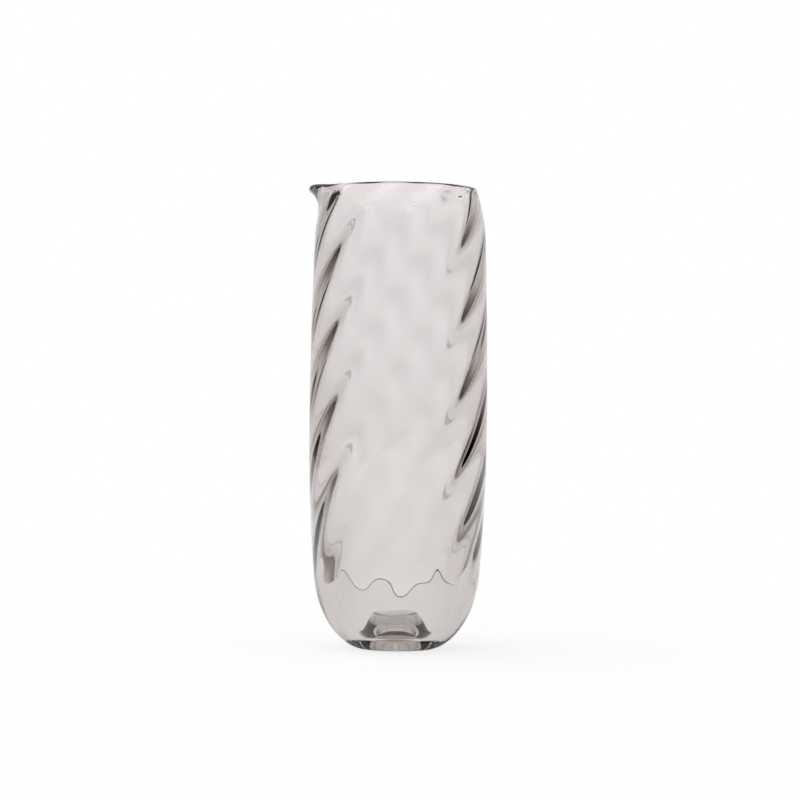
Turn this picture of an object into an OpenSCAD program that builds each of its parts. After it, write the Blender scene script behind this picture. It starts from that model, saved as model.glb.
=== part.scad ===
// A one-piece blown glass carafe. The wall is one closed loft: it starts under the
// base, climbs the outside, turns over the rim and runs down the inside to the floor.
// Every ring of the loft is turned a little further than the one below it, so that
// its columns follow the twisted ribs.

/* [Body] */
// Height from the resting plane to the top of the rim
height = 240; // [200:1:300]
// Outside radius at the widest place
belly_r = 46.3; // [42:0.1:60]
// Height of the widest place
belly_z = 115; // [80:1:150]
// Height of the shoulder, measured down from the rim
shoulder_h = 27; // [18:1:45]
// Outside radius where the shoulder starts to draw in
shoulder_r = 44.5; // [40:0.1:60]
// Outside radius at the rim
rim_r = 39.8; // [34:0.1:55]
// Height of the rounded heel above the resting plane
heel_h = 38; // [28:1:60]
// Outside radius at the top of the heel
heel_r = 43.2; // [38:0.1:58]

/* [Base] */
// Radius of the flat foot that the carafe stands on
foot_r = 20; // [17:0.5:30]
// Depth of rounded heel that the flat foot takes off
foot_cut = 0.5; // [0.3:0.1:1]
// Radius of the hollow under the base
punt_r = 14; // [10:0.5:16]
// Height of the hollow under the base
punt_h = 10; // [4:0.5:12]
// Width of the sloping side of the hollow
punt_slope = 10; // [7:0.5:12]
// Height of the floor inside before it is pushed up, above the resting plane
floor_z = 5; // [4:0.5:8]
// Radius of the push-up in the middle of the floor
kick_r = 21; // [18:0.5:24]
// Height of the push-up
kick_h = 13; // [9:0.5:16]
// Width of the sloping side of the push-up
kick_slope = 12; // [10:0.5:16]
// Height over which the inside rounds into the floor
bowl_corner = 8.5; // [6:0.5:12]

/* [Wall] */
// Thickness of the wall at the rim, between the ribs
rim_wall = 3; // [2:0.1:4]
// Thickness of the wall at the heel, between the ribs
heel_wall = 9.3; // [5:0.1:12]
// Height over which the heavy lower wall thins out
wall_fade = 90; // [40:1:120]

/* [Ribs] */
// Number of ribs round the body
ribs = 10; // [8:1:12]
// Height between one rib and the next along an upright line
rib_pitch = 38.3; // [30:0.1:60]
// Angle of the first rib at the resting plane
rib_start = 20.6; // [0:0.1:45]
// Height of a rib on the outside
rib_outside = 0.5; // [0.1:0.1:1]
// Height of a rib on the inside
rib_inside = 1.3; // [0.4:0.1:2]
// Height above the resting plane where the inside ribs are full
rib_full_z = 105; // [60:1:120]
// Height over which the inside ribs rise out of the heavy base
rib_rise = 85; // [40:1:100]
// Height below the rim over which the ribs melt away
rib_melt = 5.5; // [3:0.5:12]

/* [Lip] */
// How far the pouring lip is pulled out
lip_reach = 9.5; // [4:0.1:12]
// Width of the pouring lip across the rim
lip_w = 34; // [16:1:40]
// Height below the rim where the lip starts to bend
lip_h = 18; // [12:1:24]
// How far the pull lifts the lip
lip_rise = 2.2; // [0:0.1:4]
// How far the tip of the lip bends down
lip_drop = 2.4; // [1:0.1:3]
// Thickness of the rounded tip of the lip
lip_wall = 4.6; // [3:0.1:6]

/* [Hidden] */

// Points round one rib, and steps along each stretch of the profile
rib_steps = 8;
punt_steps = 6;
heel_steps = 8;
body_steps = 15;
lip_steps = 5;
rim_steps = 4;
bowl_steps = 3;
corner_steps = 10;

// Roundness of the valley between two ribs, as a share of one rib
rib_valley = 0.41;
// Squareness of the corner between the inside and the floor: 2 is an ellipse
corner_power = 3;

columns = ribs * rib_steps;
shoulder_z = height - shoulder_h;
edge_z = height - rim_wall / 2;
lip_z = height - lip_h;
corner_z = floor_z + bowl_corner;
lip_half_angle = lip_w / 2 / rim_r * 180 / PI;

// The shoulder leaves the body without a crease and bends in to the rim
shoulder_lean = 2 * (belly_r - shoulder_r) / (shoulder_z - belly_z);
shoulder_rise = edge_z - shoulder_z;
shoulder_bend = (shoulder_r - rim_r - shoulder_lean * shoulder_rise) / pow(shoulder_rise, 2);

// Outside radius of the plain body at height z, as if it had no heel
function side_r(z) =
    z < belly_z ? belly_r - (belly_r - heel_r) * pow((belly_z - z) / (belly_z - heel_h), 2)
    : z < shoulder_z ? belly_r - (belly_r - shoulder_r) * pow((z - belly_z) / (shoulder_z - belly_z), 2)
    : shoulder_r - shoulder_lean * (z - shoulder_z) - shoulder_bend * pow(z - shoulder_z, 2);

// The heel is a quarter of an ellipse that ends just under the resting plane
heel_depth = heel_h + foot_cut;
heel_inset = (side_r(0) - foot_r) / (1 - cos(asin(heel_h / heel_depth)));
function heel_side_r(z) =
    side_r(z) - heel_inset * (1 - sqrt(max(0, 1 - pow((heel_h - z) / heel_depth, 2))));

// Thickness of the wall at height z: heavy at the heel, thinner along a bell curve above it
function wall(z) = rim_wall + (heel_wall - rim_wall) * exp(-pow(max(0, z - heel_h) / wall_fade, 2));

// A smooth step from 0 to 1
function smooth(t) = let (s = min(1, max(0, t))) s * s * (3 - 2 * s);

// Ribs melt into the rim, and the inside ones rise out of the heavy base
function outer_rib(z) = rib_outside * smooth((height - z) / rib_melt);
function inner_rib(z) =
    -rib_inside * smooth((height - z) / rib_melt) * smooth((z - rib_full_z + rib_rise) / rib_rise);

// The inside keeps to the shape of the heel, and closes round the corner to the floor
function closing(z) =
    pow(max(0, 1 - pow(max(0, corner_z - z) / bowl_corner, corner_power)), 1 / corner_power);

// The floor is pushed up in the middle, over the hollow under the base
function kick(r) = kick_h * smooth((kick_r - r) / kick_slope);

// Rings of the loft as [radius, height, rib height]
punt_rings = [
    for (i = [1:punt_steps])
        let (t = i / punt_steps)
        [punt_r * t, (punt_h + foot_cut) * smooth(punt_r * (1 - t) / punt_slope) - foot_cut, 0]
];
heel_rings = [
    for (i = [heel_steps:-1:1])
        let (a = 90 * i / heel_steps, z = heel_h - heel_depth * sin(a))
        [heel_side_r(z), z, outer_rib(z) * cos(a)]
];
body_levels = [for (i = [0:body_steps - 1]) heel_h + (lip_z - heel_h) * i / body_steps];
lip_levels = [for (i = [0:lip_steps]) lip_z + (edge_z - lip_z) * sin(90 * i / lip_steps)];
levels = concat(body_levels, lip_levels);
outer_rings = [for (z = levels) [side_r(z), z, outer_rib(z)]];
rim_rings = [
    for (i = [1:rim_steps - 1])
        let (a = 180 * i / rim_steps, z = edge_z + rim_wall / 2 * sin(a))
        [side_r(edge_z) - rim_wall * (1 - cos(a)) / 2, z, 0]
];
inner_rings = [
    for (i = [len(levels) - 1:-1:0])
        let (z = levels[i])
        [side_r(z) - wall(z), z, inner_rib(z)]
];
bowl_levels = concat(
    [for (i = [1:bowl_steps]) heel_h + (corner_z - heel_h) * i / bowl_steps],
    [
        for (i = [1:corner_steps - 1])
            corner_z - bowl_corner * pow(sin(90 * i / corner_steps), 2 / corner_power)
    ]
);
bowl_rings = [
    for (z = bowl_levels)
        let (r = (heel_side_r(z) - wall(z)) * closing(z))
        [r, z + kick(r), inner_rib(z) * closing(z)]
];
rings = concat(punt_rings, heel_rings, outer_rings, rim_rings, inner_rings, bowl_rings);

// Share of a rib's height at one column, from 0 in a valley to 1 on the crest between two.
// The outside is a plain wave. The inside has broad crests, with the valley rounded off.
function outer_crest(column) = (1 - cos(360 * column / rib_steps)) / 2;
valley_reach = norm([0.5, rib_valley]) - rib_valley;
function inner_crest(column) =
    let (
        part = column % rib_steps / rib_steps,
        away = norm([min(part, 1 - part), rib_valley]) - rib_valley
    )
    1 - pow(1 - away / valley_reach, 2);

// Direction of a column at height z. Half a rib lies before the first crest.
function turn(column, z) = rib_start + 360 / ribs * (column / rib_steps - 0.5 + z / rib_pitch);

// The lip bends the wall outwards along -X. Its share fades to each side of that line.
function lip_share(angle) = exp(-pow(acos(-cos(angle)) / lip_half_angle, 2));

// A wall point at radius r and height z, moved with its stretch of the wall's middle line
function bent(r, z, share) =
    let (
        t = max(0, (z - lip_z) / lip_h),
        middle = side_r(min(z, edge_z)) - wall(z) / 2,
        across = (r - middle) * (1 + (lip_wall / rim_wall - 1) * share * t * t),
        climb = lip_h + (2 * lip_rise * t - 5 * lip_drop * pow(t, 4)) * share,
        lean = atan2(3 * lip_reach * share * t * t, climb)
    )
    t == 0 ? [r, z]
    : [
        middle + lip_reach * share * pow(t, 3) + across * cos(lean),
        z + (lip_rise * t * t - lip_drop * pow(t, 5)) * share - across * sin(lean)
    ];

function loft_point(ring, column) =
    let (
        angle = turn(column, ring[1]),
        crest = ring[2] < 0 ? inner_crest(column) : outer_crest(column),
        p = bent(ring[0] + ring[2] * crest, ring[1], lip_share(angle))
    )
    [p[0] * cos(angle), p[0] * sin(angle), p[1]];

loft_points = concat(
    [[0, 0, punt_h]],
    [for (ring = rings, column = [0:columns - 1]) loft_point(ring, column)],
    [[0, 0, floor_z + kick_h]]
);

// Number of a loft point, counting round past the last column
function at(ring, column) = 1 + ring * columns + column % columns;
last = len(rings) - 1;
loft_faces = concat(
    [for (c = [0:columns - 1]) [0, at(0, c), at(0, c + 1)]],
    [for (i = [0:last - 1], c = [0:columns - 1]) [at(i, c), at(i + 1, c), at(i + 1, c + 1)]],
    [for (i = [0:last - 1], c = [0:columns - 1]) [at(i, c), at(i + 1, c + 1), at(i, c + 1)]],
    [for (c = [0:columns - 1]) [at(last, c), len(loft_points) - 1, at(last, c + 1)]]
);

// The whole vessel, with its foot cut flat on the resting plane
module glass_carafe() {
    color([0.83, 0.81, 0.81, 0.6])
        difference() {
            polyhedron(loft_points, loft_faces, convexity = 6);
            translate([-belly_r, -belly_r, -2 * foot_cut])
                cube([2 * belly_r, 2 * belly_r, 2 * foot_cut]);
        }
}

glass_carafe();
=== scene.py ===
"""A hand-blown carafe of pale smoke glass, with twisted optic ribs and a pulled lip.

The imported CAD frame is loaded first. The carafe's glass is then worked out again on a
finer grid from the same sizes, dressed as tinted glass, and set on a white table in a
soft studio. Sizes are in millimetres until a mesh is made, and Z is up.
"""

from __future__ import annotations

import logging
import math
from dataclasses import dataclass
from enum import Enum
from typing import Any

import bpy
import numpy as np
from mathutils import Matrix

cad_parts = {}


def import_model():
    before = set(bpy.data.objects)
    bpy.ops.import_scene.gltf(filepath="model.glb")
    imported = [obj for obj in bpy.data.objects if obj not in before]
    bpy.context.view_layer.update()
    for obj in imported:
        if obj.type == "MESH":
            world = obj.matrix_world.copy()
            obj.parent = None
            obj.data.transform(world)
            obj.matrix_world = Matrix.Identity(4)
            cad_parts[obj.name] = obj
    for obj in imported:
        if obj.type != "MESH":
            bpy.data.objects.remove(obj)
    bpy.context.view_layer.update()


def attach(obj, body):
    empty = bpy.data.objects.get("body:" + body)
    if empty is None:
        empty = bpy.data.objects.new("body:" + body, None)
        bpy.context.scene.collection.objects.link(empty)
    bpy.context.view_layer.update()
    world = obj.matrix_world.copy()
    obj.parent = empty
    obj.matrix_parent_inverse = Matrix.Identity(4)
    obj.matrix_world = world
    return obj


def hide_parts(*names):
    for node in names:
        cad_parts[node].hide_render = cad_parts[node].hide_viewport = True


LOG = logging.getLogger("carafe")
MM = 0.001
NODE = "glass_carafe"
BODY = "root"
PICTURE_W = 800


class Face(Enum):
    """The two faces of the glass wall, with the way that a rib swells there."""

    OUTSIDE = 1.0
    INSIDE = -1.0


def linear(hex_colour: str) -> tuple[float, float, float, float]:
    """Turns an sRGB hex colour into the linear colour that a shader socket takes.

    Args:
        hex_colour: A colour such as "#e8e4e2".

    Returns:
        Red, green, blue and an alpha of 1.
    """
    srgb = np.array([int(hex_colour[i : i + 2], 16) for i in (1, 3, 5)]) / 255
    value = np.where(srgb <= 0.04045, srgb / 12.92, ((srgb + 0.055) / 1.055) ** 2.4)
    return (*value.tolist(), 1.0)


def add_node(tree: bpy.types.NodeTree, kind: str, inputs: dict | None = None, **settings: Any):
    """Adds one node, with its settings and links.

    Args:
        tree: The node tree that gets the node.
        kind: The node's type, such as "ShaderNodeMath".
        inputs: Sockets by name or number, each with a value or the socket that feeds it.
        **settings: Attributes of the node.

    Returns:
        The new node.
    """
    node = tree.nodes.new(kind)
    for name, value in settings.items():
        setattr(node, name, value)
    for socket, value in (inputs or {}).items():
        if isinstance(value, bpy.types.NodeSocket):
            tree.links.new(value, node.inputs[socket])
        else:
            node.inputs[socket].default_value = value
    return node


def smooth_step(t: np.ndarray) -> np.ndarray:
    """Rises from 0 to 1 as t does, level at both ends: 3t squared less 2t cubed."""
    t = np.clip(t, 0, 1)
    return t * t * (3 - 2 * t)


def closed_mesh(name: str, rings: np.ndarray, first: list, last: list) -> bpy.types.Object:
    """Joins rings of points into one closed skin, with a point at each end.

    Args:
        name: The object's name.
        rings: Points in millimetres, as rings by columns by xyz.
        first: The point that closes the first ring.
        last: The point that closes the last ring.

    Returns:
        A smooth-shaded object at the origin.
    """
    count, columns, _ = rings.shape
    points = np.concatenate([[first], rings.reshape(-1, 3), [last]]) * MM
    here = np.arange(columns)
    beside = (here + 1) % columns
    row = 1 + columns * np.arange(count - 1)[:, None]
    quads = np.stack([row + here, row + beside, row + columns + beside, row + columns + here], -1)
    end = 1 + columns * (count - 1)
    start_fan = np.stack([0 * here, 1 + beside, 1 + here], -1)
    end_fan = np.stack([0 * here + len(points) - 1, end + here, end + beside], -1)
    faces = quads.reshape(-1, 4).tolist() + start_fan.tolist() + end_fan.tolist()
    mesh = bpy.data.meshes.new(name)
    mesh.from_pydata(points.tolist(), [], faces)
    mesh.update()
    mesh.shade_smooth()
    piece = bpy.data.objects.new(name, mesh)
    bpy.context.collection.objects.link(piece)
    return piece


@dataclass(frozen=True)
class SmokeGlass:
    """Soda-lime glass, tinted grey-brown in the melt, blown and fire-polished.

    Its skin is clear and mirror-smooth, with slow ripples from the blowing. The tint is in
    the glass itself, so a thick heel looks darker than a thin rim.

    Attributes:
        name: The material's name.
        tint: Colour that is left after a depth of one over the density.
        density: How fast the tint takes light away, per metre.
        ior: Refractive index of soda-lime glass.
        ripple_w: Width of a ripple from the blowing, in millimetres.
        ripple_h: Height of a ripple, in millimetres.
    """

    name: str = "blown_smoke_glass"
    tint: str = "#eeedec"
    density: float = 117.0
    ior: float = 1.5
    ripple_w: float = 26.0
    ripple_h: float = 0.03

    def material(self) -> bpy.types.Material:
        """Makes the material.

        Returns:
            Clear glass with ripples in its skin and a tint in its depth.
        """
        material = bpy.data.materials.new(self.name)
        material.use_nodes = True
        tree = material.node_tree
        tree.nodes.clear()
        place = add_node(tree, "ShaderNodeTexCoord")
        ripple = add_node(
            tree,
            "ShaderNodeTexNoise",
            {"Vector": place.outputs["Object"], "Scale": 1 / (self.ripple_w * MM), "Detail": 1.0},
        )
        skin = add_node(
            tree,
            "ShaderNodeBump",
            {"Height": ripple.outputs["Fac"], "Distance": self.ripple_h * MM, "Strength": 1.0},
        )
        glass = add_node(
            tree,
            "ShaderNodeBsdfPrincipled",
            {
                "Base Color": linear("#ffffff"),
                "Roughness": 0.0,
                "IOR": self.ior,
                "Transmission Weight": 1.0,
                "Normal": skin.outputs["Normal"],
            },
        )
        depth = add_node(
            tree,
            "ShaderNodeVolumeAbsorption",
            {"Color": linear(self.tint), "Density": self.density},
        )
        add_node(
            tree,
            "ShaderNodeOutputMaterial",
            {"Surface": glass.outputs["BSDF"], "Volume": depth.outputs["Volume"]},
        )
        return material


@dataclass
class RibbedCarafe:
    """The carafe: one wall of glass, thick at the heel and thin at the rim.

    Attributes:
        height: Height from the table to the rim.
        belly_r: Outside radius at the belly.
        belly_z: Height of the belly.
        shoulder_h: Depth of the shoulder below the rim.
        shoulder_r: Outside radius at the shoulder.
        rim_r: Outside radius at the rim.
        heel_h: Height of the rounded heel.
        heel_r: Outside radius at the top of the heel.
        foot_r: Radius of the foot that stands on the table.
        foot_cut: Depth that the round heel is cut away to make the foot flat.
        punt_r: Radius of the hollow under the foot.
        punt_h: Height of the hollow under the foot.
        punt_slope: Width of the hollow's sloping side.
        floor_z: Height of the inside floor, at its lowest.
        bowl_corner: Height over which the inside rounds into the floor.
        bowl_power: Squareness of that corner.
        kick_r: Radius of the push-up in the middle of the floor.
        kick_h: Height of the push-up.
        kick_slope: Width of the push-up's sloping side.
        rim_wall: Thickness of the wall at the rim.
        heel_wall: Thickness of the wall at the heel.
        wall_z: Height where the wall starts to thin.
        wall_fade: Height over which the wall thins.
        wall_power: How level the wall stays before it thins.
        ribs: Number of ribs.
        rib_pitch: Height between one rib and the next.
        rib_start: Angle of the first rib at the table, in degrees.
        rib_outside: Height of a rib outside.
        rib_inside: Height of a rib inside.
        rib_full_z: Height where the inside ribs are full.
        rib_rise: Height over which the inside ribs rise out of the heel.
        rib_melt: Height over which the ribs melt into the rim.
        rib_valley: Roundness of the valley between two ribs, in ribs.
        lip_reach: How far the lip is pulled out.
        lip_w: Width of the lip.
        lip_h: Height over which the wall is pulled out.
        lip_rise: How far the pull lifts the wall.
        lip_drop: How far the lip's end turns down.
        lip_wall: Thickness of the lip's rounded end.
        rib_steps: Columns of the grid in one rib.
        punt_rings: Rings of the grid in the hollow under the foot.
        heel_rings: Rings along the heel.
        body_rings: Rings along the side, below the lip.
        lip_rings: Rings along the height of the lip.
        rim_rings: Steps round the edge of the rim.
        bowl_rings: Rings along the inside of the heel.
        corner_rings: Steps round the inside corner and across the floor.
    """

    height: float = 240.0
    belly_r: float = 46.3
    belly_z: float = 115.0
    shoulder_h: float = 27.0
    shoulder_r: float = 44.5
    rim_r: float = 39.8
    heel_h: float = 38.0
    heel_r: float = 43.2
    foot_r: float = 20.0
    foot_cut: float = 0.5
    punt_r: float = 15.0
    punt_h: float = 12.5
    punt_slope: float = 11.0
    floor_z: float = 4.5
    bowl_corner: float = 8.5
    bowl_power: float = 3.0
    kick_r: float = 21.0
    kick_h: float = 14.0
    kick_slope: float = 11.0
    rim_wall: float = 2.9
    heel_wall: float = 11.1
    wall_z: float = 4.0
    wall_fade: float = 86.4
    wall_power: float = 1.36
    ribs: int = 10
    rib_pitch: float = 38.3
    rib_start: float = 21.2
    rib_outside: float = 0.16
    rib_inside: float = 1.42
    rib_full_z: float = 102.0
    rib_rise: float = 87.0
    rib_melt: float = 6.2
    rib_valley: float = 0.6
    lip_reach: float = 9.5
    lip_w: float = 34.0
    lip_h: float = 18.0
    lip_rise: float = 2.2
    lip_drop: float = 2.4
    lip_wall: float = 4.6
    rib_steps: int = 27
    punt_rings: int = 24
    heel_rings: int = 36
    body_rings: int = 84
    lip_rings: int = 24
    rim_rings: int = 14
    bowl_rings: int = 20
    corner_rings: int = 49

    @property
    def rim_z(self) -> float:
        """Height where the round edge of the rim begins."""
        return self.height - self.rim_wall / 2

    def side_r(self, z: np.ndarray) -> np.ndarray:
        """Outside radius at a height.

        Three parabolas: one swells from the heel to the belly, one draws in from the belly
        to the shoulder, and one goes on from the shoulder at the same slope to the rim.

        Args:
            z: Heights.

        Returns:
            The radius at each height.
        """
        shoulder_z = self.height - self.shoulder_h
        draw = self.belly_r - self.shoulder_r
        slope = 2 * draw / (shoulder_z - self.belly_z)
        rise = self.rim_z - shoulder_z
        bend = (self.shoulder_r - self.rim_r - slope * rise) / rise**2
        low = (self.belly_z - z) / (self.belly_z - self.heel_h)
        high = (z - self.belly_z) / (shoulder_z - self.belly_z)
        above = z - shoulder_z
        lower = self.belly_r - (self.belly_r - self.heel_r) * low**2
        upper = self.belly_r - draw * high**2
        neck = self.shoulder_r - slope * above - bend * above**2
        return np.where(z < self.belly_z, lower, np.where(z < shoulder_z, upper, neck))

    def heel_r_at(self, z: np.ndarray) -> np.ndarray:
        """Outside radius in the heel, where the side draws in along a quarter ellipse.

        Args:
            z: Heights below heel_h.

        Returns:
            The radius at each height.
        """
        depth = self.heel_h + self.foot_cut
        flat = math.cos(math.asin(self.heel_h / depth))
        inset = (self.side_r(np.zeros(1))[0] - self.foot_r) / (1 - flat)
        across = np.sqrt(np.maximum(0, 1 - ((self.heel_h - z) / depth) ** 2))
        return self.side_r(z) - inset * (1 - across)

    def wall(self, z: np.ndarray) -> np.ndarray:
        """Thickness of the wall: it thins by e to the minus (height over wall_fade) to a power."""
        thinning = np.exp(-((np.maximum(0, z - self.wall_z) / self.wall_fade) ** self.wall_power))
        return self.rim_wall + (self.heel_wall - self.rim_wall) * thinning

    def rib(self, face: Face, z: np.ndarray) -> np.ndarray:
        """Height of a rib on one face of the wall, signed with the way it swells.

        On both faces it melts away into the rim, and inside it rises out of the heel.

        Args:
            face: The face that the rib is on.
            z: Heights.

        Returns:
            The rib's height at each z, negative inside.
        """
        melted = smooth_step((self.height - z) / self.rib_melt)
        if face is Face.OUTSIDE:
            return face.value * self.rib_outside * melted
        begun = smooth_step((z - self.rib_full_z + self.rib_rise) / self.rib_rise)
        return face.value * self.rib_inside * melted * begun

    def outline(self) -> np.ndarray:
        """Half section of the glass, from the hollow under the foot round to the floor inside.

        The hollow under the foot and the push-up in the floor are smooth steps of the
        radius. The heel is a quarter ellipse, the side is side_r, the rim is a half circle,
        and the inside is the side less the wall. The corner of the inside is a superellipse.

        Returns:
            Rows of radius, height and rib height.
        """
        r = np.linspace(0, self.punt_r, self.punt_rings + 1)[1:]
        hollow = self.punt_h * smooth_step((self.punt_r - r) / self.punt_slope)
        punt = np.stack([r, hollow, 0 * r], -1)

        depth = self.heel_h + self.foot_cut
        a = np.linspace(math.asin(self.heel_h / depth), 0, self.heel_rings + 1)
        z = self.heel_h - depth * np.sin(a)
        heel = np.stack([self.heel_r_at(z), z, self.rib(Face.OUTSIDE, z) * np.cos(a)], -1)

        bend_z = self.height - self.lip_h
        body_z = np.linspace(self.heel_h, bend_z, self.body_rings + 1)[1:]
        a = np.linspace(0, math.pi / 2, self.lip_rings + 1)[1:]
        z = np.concatenate([body_z, bend_z + (self.rim_z - bend_z) * np.sin(a)])
        outside = np.stack([self.side_r(z), z, self.rib(Face.OUTSIDE, z)], -1)

        a = np.linspace(0, math.pi, self.rim_rings + 1)[1:-1]
        edge = self.side_r(np.array([self.rim_z])) - self.rim_wall * (1 - np.cos(a)) / 2
        rim = np.stack([edge, self.rim_z + self.rim_wall / 2 * np.sin(a), 0 * a], -1)

        z = np.concatenate([[self.heel_h], z])[::-1]
        inside = np.stack([self.side_r(z) - self.wall(z), z, self.rib(Face.INSIDE, z)], -1)

        corner_z = self.floor_z + self.bowl_corner
        narrow = np.linspace(1, 0, self.corner_rings + 1)[1:-1]
        down = (1 - narrow**self.bowl_power) ** (1 / self.bowl_power)
        heel_z = np.linspace(self.heel_h, corner_z, self.bowl_rings + 1)[1:]
        z = np.concatenate([heel_z, corner_z - self.bowl_corner * down])
        closing = np.concatenate([np.ones(self.bowl_rings), narrow])
        radius = (self.heel_r_at(z) - self.wall(z)) * closing
        kick = self.kick_h * smooth_step((self.kick_r - radius) / self.kick_slope)
        bowl = np.stack([radius, z + kick, self.rib(Face.INSIDE, z)], -1)
        return np.concatenate([punt, heel, outside, rim, inside, bowl])

    def swell(self, face: Face, turn: np.ndarray) -> np.ndarray:
        """Shape across the ribs, from 0 in a valley to 1 on a crest.

        Outside it is a raised cosine. Inside, the distance from the valley is rounded by
        rib_valley, and a parabola through it makes a broad crest and a narrow valley.

        Args:
            face: The face of the wall.
            turn: Distance round the wall from the first crest, in ribs.

        Returns:
            The share of the rib's height at each turn.
        """
        if face is Face.OUTSIDE:
            return (1 + np.cos(2 * math.pi * turn)) / 2
        away = np.abs(turn % 1 - 0.5)
        soft = np.hypot(away, self.rib_valley) - self.rib_valley
        reach = math.hypot(0.5, self.rib_valley) - self.rib_valley
        return 1 - (1 - soft / reach) ** 2

    def surface(self) -> np.ndarray:
        """The whole skin of the glass, as a function of place along the outline and turn.

        Each point of the outline moves out or in by the rib at its turn, and the columns
        wind round the axis by one rib in each rib_pitch of height. The lip is a pull
        towards -X. Its share falls off as a bell round the rim. The pull grows with the cube
        of the height above its start and the turn-down with the fifth power, and the wall
        leans with the slope of that path.

        Returns:
            Points in millimetres, as rings by columns by xyz.
        """
        r0, z0, rib = (column[:, None] for column in self.outline().T)
        columns = self.ribs * self.rib_steps
        turn = np.arange(columns)[None, :] / self.rib_steps
        angle = np.radians(self.rib_start + 360 / self.ribs * (turn + z0 / self.rib_pitch))
        inside = self.swell(Face.INSIDE, turn)
        outside = self.swell(Face.OUTSIDE, turn)
        r = r0 + rib * np.where(rib < 0, inside, outside)
        z = z0 + 0 * turn

        half_angle = self.lip_w / 2 / self.rim_r
        share = np.exp(-((np.arccos(np.clip(-np.cos(angle), -1, 1)) / half_angle) ** 2))
        up = np.maximum(0, (z - self.height + self.lip_h) / self.lip_h)
        middle = self.side_r(np.minimum(z, self.rim_z)) - self.wall(z) / 2
        outward = 3 * self.lip_reach * share * up**2
        upward = (2 * self.lip_rise * up - 5 * self.lip_drop * up**4) * share
        lean = np.arctan2(outward, self.lip_h + upward)
        across = (r - middle) * (1 + (self.lip_wall / self.rim_wall - 1) * share * up**2)
        pulled_r = middle + self.lip_reach * share * up**3 + across * np.cos(lean)
        lift = (self.lip_rise * up**2 - self.lip_drop * up**5) * share
        pulled_z = z + lift - across * np.sin(lean)
        r = np.where(up > 0, pulled_r, r)
        z = np.where(up > 0, pulled_z, z)
        return np.stack([r * np.cos(angle), r * np.sin(angle), z], -1)

    def build(self) -> bpy.types.Object:
        """Makes the carafe's mesh.

        Returns:
            The glass, riding on the frame in place of its CAD node.
        """
        first, last = [0, 0, self.punt_h], [0, 0, self.floor_z + self.kick_h]
        piece = closed_mesh("blown_glass_wall", self.surface(), first, last)
        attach(piece, BODY)
        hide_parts(NODE)
        return piece

    def dress(self, piece: bpy.types.Object, glass: SmokeGlass) -> None:
        """Gives the glass its finish."""
        piece.data.materials.append(glass.material())


class RayTest:
    """What kind of ray asks for a colour, as sockets of one node tree."""

    def __init__(self, tree: bpy.types.NodeTree) -> None:
        """Adds the Light Path node to a tree."""
        self.tree = tree
        self.path = add_node(tree, "ShaderNodeLightPath")

    def math(self, operation: str, a: Any, b: Any) -> bpy.types.NodeSocket:
        """Combines two values or sockets with one operation."""
        return add_node(self.tree, "ShaderNodeMath", {0: a, 1: b}, operation=operation).outputs[0]

    def mix(self, share: Any, a: Any, b: Any) -> bpy.types.NodeSocket:
        """Mixes two colours: a where the share is 0, and b where it is 1."""
        mixed = add_node(self.tree, "ShaderNodeMix", {0: share, 6: a, 7: b}, data_type="RGBA")
        return mixed.outputs[2]

    def camera(self) -> bpy.types.NodeSocket:
        """1 for a ray straight from the camera."""
        return self.path.outputs["Is Camera Ray"]

    def soft(self) -> bpy.types.NodeSocket:
        """1 for a ray that lights a matt surface."""
        return self.path.outputs["Is Diffuse Ray"]

    def glass(self) -> bpy.types.NodeSocket:
        """1 for a ray that came out of the glass."""
        return self.path.outputs["Is Transmission Ray"]

    def through(self) -> bpy.types.NodeSocket:
        """1 for a ray that came out of the glass with no reflection on the way."""
        straight = self.math("LESS_THAN", self.path.outputs["Glossy Depth"], 0.5)
        return self.math("MULTIPLY", self.glass(), straight)


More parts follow.
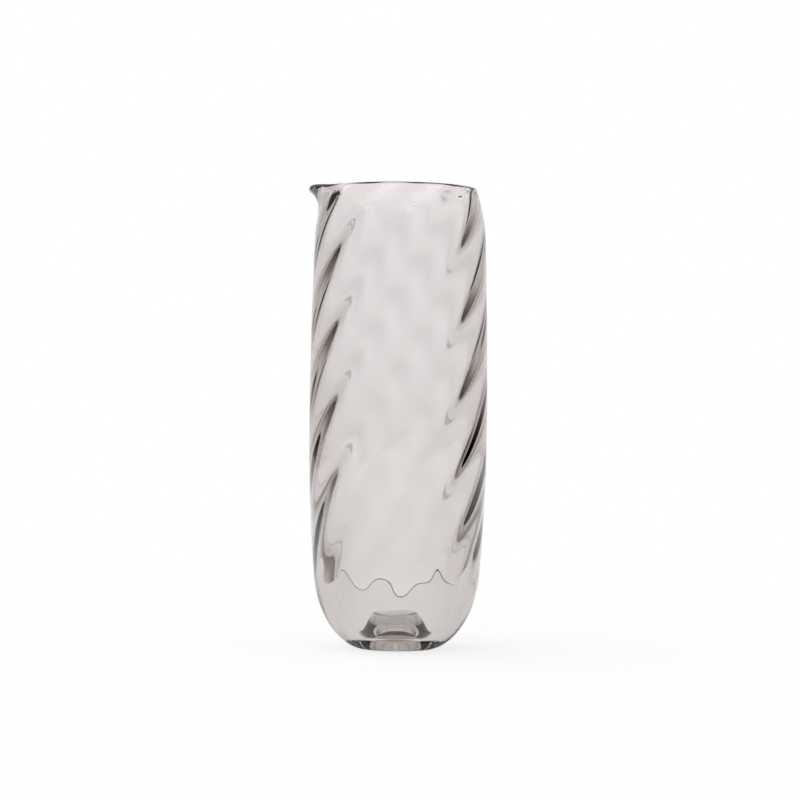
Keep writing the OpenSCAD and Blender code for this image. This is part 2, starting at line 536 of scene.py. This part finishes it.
@dataclass(frozen=True)
class WhiteTable:
    """An oval board of matt white laminate with a thin grey edge, on a white floor.

    The camera sees both almost plain white, with a faint shadow. The glass shows the
    board as flat glowing colours: white, a painted contact shadow under the foot, and
    grey at its edge behind the foot. Past the board it shows the studio.

    Attributes:
        radius: Radius of the floor, in millimetres.
        thick: Thickness of the floor, in millimetres.
        glow: Share of plain white that the camera sees.
        painted_foot_shadow: Colour of the painted contact shadow under the foot.
        near: Colour from the foot to the edge.
        foot_r: Radius of the painted shadow under the foot, in millimetres.
        shade_r: Radius where the painted shadow of the foot fades out, in millimetres.
        drop: Depth of the floor below the foot, in millimetres.
        inner_r: Radii of the floor's inner rings, in millimetres.
        sides: Number of sides of the floor's rim.
        edge_r: Distance from the foot to the edge, front to back, in millimetres.
        edge_w: Width of the edge, in millimetres.
        oval: How many times deeper than wide the board is.
        line: Colour of the edge.
        edge_from: Share along Y where the edge begins to show.
        edge_full: Share along Y where the edge shows in full.
    """

    radius: float = 2500.0
    thick: float = 1.5
    glow: float = 0.8
    painted_foot_shadow: str = "#a3958a"
    near: str = "#f5f1f0"
    foot_r: float = 18.0
    shade_r: float = 22.0
    drop: float = 0.1
    inner_r: tuple[float, float] = (200.0, 60.0)
    sides: int = 144
    edge_r: float = 253.0
    edge_w: float = 7.0
    oval: float = 1.72
    line: str = "#808080"
    edge_from: float = 0.6
    edge_full: float = 0.85

    def board(self, ray: RayTest) -> bpy.types.NodeSocket:
        """Adds what the glass sees: the board with a painted contact shadow under the foot, its
        edge behind the foot, and nothing past it.

        The distance from the foot has X stretched by the oval. The edge fades out round the
        sides of the board, as the share of that distance that lies along Y falls.

        Args:
            ray: The ray test of the laminate's tree.

        Returns:
            The socket of the shader.
        """
        place = add_node(ray.tree, "ShaderNodeTexCoord")
        stretched = add_node(
            ray.tree,
            "ShaderNodeVectorMath",
            {0: place.outputs["Object"], 1: (self.oval, 1.0, 1.0)},
            operation="MULTIPLY",
        ).outputs[0]
        length = add_node(ray.tree, "ShaderNodeVectorMath", {0: stretched}, operation="LENGTH")
        away = length.outputs["Value"]
        along = add_node(ray.tree, "ShaderNodeSeparateXYZ", {0: stretched}).outputs["Y"]
        outer = (self.edge_r + self.edge_w / 2) * MM

        # Painted contact shadow: the board turns brown-grey under the foot and fades back to white
        # between foot_r and shade_r.
        shade = add_node(
            ray.tree,
            "ShaderNodeMapRange",
            {0: away, 1: self.foot_r * MM, 2: self.shade_r * MM},
        ).outputs[0]
        behind = add_node(
            ray.tree,
            "ShaderNodeMapRange",
            {0: ray.math("DIVIDE", along, away), 1: self.edge_from, 2: self.edge_full},
        ).outputs[0]
        edge = ray.math("GREATER_THAN", away, outer - self.edge_w * MM)
        # Mixes the painted shadow under the foot into the board's white.
        tone = ray.mix(shade, linear(self.painted_foot_shadow), linear(self.near))
        tone = ray.mix(ray.math("MULTIPLY", edge, behind), tone, linear(self.line))
        glow = add_node(ray.tree, "ShaderNodeEmission", {"Color": tone})
        clear = add_node(ray.tree, "ShaderNodeBsdfTransparent", {"Color": linear("#ffffff")})
        past = ray.math("GREATER_THAN", away, outer)
        mixed = add_node(
            ray.tree, "ShaderNodeMixShader", {0: past, 1: glow.outputs[0], 2: clear.outputs[0]}
        )
        return mixed.outputs[0]

    def material(self) -> bpy.types.Material:
        """Makes the laminate.

        Returns:
            Matt white, mixed with plain white for the camera and with the board for glass.
        """
        material = bpy.data.materials.new("white_laminate")
        material.use_nodes = True
        tree = material.node_tree
        tree.nodes.clear()
        ray = RayTest(tree)
        matt = add_node(tree, "ShaderNodeBsdfDiffuse", {"Color": linear("#ffffff")})
        plain = add_node(tree, "ShaderNodeEmission", {"Color": linear("#ffffff")})
        seen = ray.math("MULTIPLY", ray.camera(), self.glow)
        mixed = add_node(
            tree, "ShaderNodeMixShader", {0: seen, 1: matt.outputs[0], 2: plain.outputs[0]}
        )
        mixed = add_node(
            tree, "ShaderNodeMixShader", {0: ray.glass(), 1: mixed.outputs[0], 2: self.board(ray)}
        )
        add_node(tree, "ShaderNodeOutputMaterial", {"Surface": mixed.outputs[0]})
        return material

    def build(self) -> bpy.types.Object:
        """Makes the floor: a disc just under the foot, whose rim turns straight down.

        Returns:
            The floor.
        """
        top = -self.drop
        radius = np.array([self.radius, self.radius, *self.inner_r])
        height = np.array([-self.thick, top, top, top])
        angle = np.linspace(0, 2 * math.pi, self.sides + 1)[:-1]
        x, y = np.outer(radius, np.cos(angle)), np.outer(radius, np.sin(angle))
        rings = np.stack([x, y, height[:, None] + 0 * x], -1)
        table = closed_mesh("table_top", rings, [0, 0, -self.thick], [0, 0, top])
        table.data.shade_flat()
        table.data.materials.append(self.material())
        return table


@dataclass(frozen=True)
class Studio:
    """White flats round the table with narrow dark gaps between them, in a dim room.

    Attributes:
        ambient: Level of the room's light on matt surfaces.
        flats: Colour of the flats.
        fall: How much darker the flats are straight overhead.
        gap: Depth of the dark gaps, as a share of the flats' brightness.
        gap_at: Place of the gaps: 0 is halfway between two flats, and 1 is mid-flat.
        gap_w: Width of the gaps, on the same scale.
        dark: Colour of the room behind the camera, in reflections.
        brown: Colour of the room at the sides, in reflections.
        pale: Colour of the room ahead of the camera, in reflections.
        dark_at: Where the dark ends: 0 is behind the camera, and 1 is ahead.
        brown_at: Where the brown is, on the same scale.
        pale_at: Where the pale begins, on the same scale.
        roof_from: How steeply up the pale ceiling begins, as the Z of a direction.
        roof_full: Z where the ceiling is all that is seen.
        lamp_angle: How wide the soft lamp looks from the table, in degrees.
        lamp_tilt: How far the lamp leans from straight overhead, in degrees.
        lamp_at: Place of the lamp, in metres.
    """

    ambient: float = 0.7
    flats: str = "#fff9fa"
    fall: float = 0.654
    gap: float = 0.371
    gap_at: float = 0.64
    gap_w: float = 0.065
    dark: str = "#0f0c09"
    brown: str = "#94847b"
    pale: str = "#e8e4e2"
    dark_at: float = 0.65
    brown_at: float = 0.83
    pale_at: float = 0.955
    roof_from: float = 0.1
    roof_full: float = 0.4
    lamp_angle: float = 70.0
    lamp_tilt: float = 25.0
    lamp_at: tuple[float, float, float] = (-0.5, 0.0, 1.2)

    def flats_seen(self, ray: RayTest, x: Any, y: Any, z: Any) -> bpy.types.NodeSocket:
        """Adds the flats that are seen straight through the glass.

        With f as (y squared less x squared) over (x squared plus y squared), a gap is a
        bell curve of the size of f round gap_at. The flats darken in step with z.

        Args:
            ray: The ray test of the world's tree.
            x: Socket of the direction along X.
            y: Socket of the direction along Y.
            z: Socket of the direction along Z.

        Returns:
            The socket of the colour.
        """
        xx, yy = ray.math("MULTIPLY", x, x), ray.math("MULTIPLY", y, y)
        f = ray.math("DIVIDE", ray.math("SUBTRACT", yy, xx), ray.math("ADD", yy, xx))
        off = ray.math("SUBTRACT", ray.math("ABSOLUTE", f, 0.0), self.gap_at)
        off = ray.math("POWER", ray.math("DIVIDE", off, self.gap_w), 2.0)
        bell = ray.math("EXPONENT", ray.math("MULTIPLY", off, -1.0), 0.0)
        bright = ray.math("SUBTRACT", 1.0, ray.math("MULTIPLY", bell, self.gap))
        shade = ray.math("MULTIPLY", ray.math("MAXIMUM", z, 0.0), self.fall)
        bright = ray.math("MULTIPLY", bright, ray.math("SUBTRACT", 1.0, shade))
        return ray.mix(bright, linear("#000000"), linear(self.flats))

    def room_seen(self, ray: RayTest, x: Any, y: Any, z: Any) -> bpy.types.NodeSocket:
        """Adds the room that is seen by reflection, under a pale ceiling.

        The room is a ramp from dark behind to pale ahead, over the share of the level
        direction that lies along Y.

        Args:
            ray: The ray test of the world's tree.
            x: Socket of the direction along X.
            y: Socket of the direction along Y.
            z: Socket of the direction along Z.

        Returns:
            The socket of the colour.
        """
        xx, yy = ray.math("MULTIPLY", x, x), ray.math("MULTIPLY", y, y)
        ahead = ray.math("DIVIDE", y, ray.math("POWER", ray.math("ADD", xx, yy), 0.5))
        share = ray.math("ADD", ray.math("MULTIPLY", ahead, 0.5), 0.5)
        ramp = add_node(ray.tree, "ShaderNodeValToRGB", {0: share})
        stops = ramp.color_ramp.elements
        stops[0].position, stops[0].color = self.dark_at, linear(self.dark)
        stops[1].position, stops[1].color = self.pale_at, linear(self.pale)
        stops.new(self.brown_at).color = linear(self.brown)
        ceiling = add_node(
            ray.tree, "ShaderNodeMapRange", {0: z, 1: self.roof_from, 2: self.roof_full}
        )
        return ray.mix(ceiling.outputs[0], ramp.outputs[0], linear(self.pale))

    def world(self) -> None:
        """Makes the surroundings.

        Reflections show the room, matt surfaces get even light, the flats are seen through
        the glass, and the camera sees plain white.
        """
        world = bpy.data.worlds.new("studio")
        world.use_nodes = True
        tree = world.node_tree
        tree.nodes.clear()
        ray = RayTest(tree)
        place = add_node(tree, "ShaderNodeTexCoord")
        split = add_node(tree, "ShaderNodeSeparateXYZ", {0: place.outputs["Generated"]})
        x, y, z = (split.outputs[name] for name in "XYZ")
        even = (self.ambient, self.ambient, self.ambient, 1.0)
        colour = ray.mix(ray.soft(), self.room_seen(ray, x, y, z), even)
        colour = ray.mix(ray.through(), colour, self.flats_seen(ray, x, y, z))
        colour = ray.mix(ray.camera(), colour, linear("#ffffff"))
        sky = add_node(tree, "ShaderNodeBackground", {"Color": colour, "Strength": 1.0})
        add_node(tree, "ShaderNodeOutputWorld", {"Surface": sky.outputs[0]})
        bpy.context.scene.world = world

    def lamps(self) -> None:
        """Hangs one wide soft lamp, which brings the even light on the table up to 1."""
        tilt = math.radians(self.lamp_tilt)
        light = bpy.data.lights.new("softbox", "SUN")
        light.angle = math.radians(self.lamp_angle)
        light.energy = math.pi * (1 - self.ambient) / math.cos(tilt)
        lamp = bpy.data.objects.new("softbox", light)
        lamp.matrix_world = Matrix.Translation(self.lamp_at) @ Matrix.Rotation(-tilt, 4, "Y")
        lamp.visible_glossy = False
        lamp.visible_transmission = False
        bpy.context.collection.objects.link(lamp)


@dataclass(frozen=True)
class LevelCamera:
    """A camera as high as the carafe's middle, looking level along +Y.

    Attributes:
        scale: Millimetres in one pixel of the picture, at the carafe.
        focal: Focal length, in pixels of the picture.
        sensor: Width of the sensor, in millimetres.
        height: Height of the camera above the table, in millimetres.
        aside: Place of the camera along X, in millimetres.
        roll: Roll of the camera, in radians.
    """

    scale: float = 0.5226
    focal: float = 2400.0
    sensor: float = 36.0
    height: float = 129.3
    aside: float = 0.8
    roll: float = 0.0119

    def place(self) -> None:
        """Makes the camera and gives it to the scene."""
        data = bpy.data.cameras.new("photo_camera")
        data.sensor_width = self.sensor
        data.lens = self.focal / PICTURE_W * self.sensor
        camera = bpy.data.objects.new("photo_camera", data)
        level = Matrix.Rotation(math.pi / 2, 4, "X") @ Matrix.Rotation(self.roll, 4, "Z")
        spot = (self.aside * MM, -self.focal * self.scale * MM, self.height * MM)
        camera.matrix_world = Matrix.Translation(spot) @ level
        bpy.context.collection.objects.link(camera)
        bpy.context.scene.camera = camera


def main() -> None:
    """Loads the frame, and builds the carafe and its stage."""
    logging.basicConfig(level=logging.INFO, format="%(name)s: %(message)s")
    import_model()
    bpy.context.scene.view_settings.view_transform = "Standard"
    LevelCamera().place()
    carafe = RibbedCarafe()
    wall = carafe.build()
    carafe.dress(wall, SmokeGlass())
    LOG.info("%s: %d faces, %d ribs", wall.name, len(wall.data.polygons), carafe.ribs)
    table = WhiteTable().build()
    LOG.info("%s: radius %.2f m", table.name, table.dimensions.x / 2)
    studio = Studio()
    studio.world()
    studio.lamps()


if __name__ == "__main__":
    main()
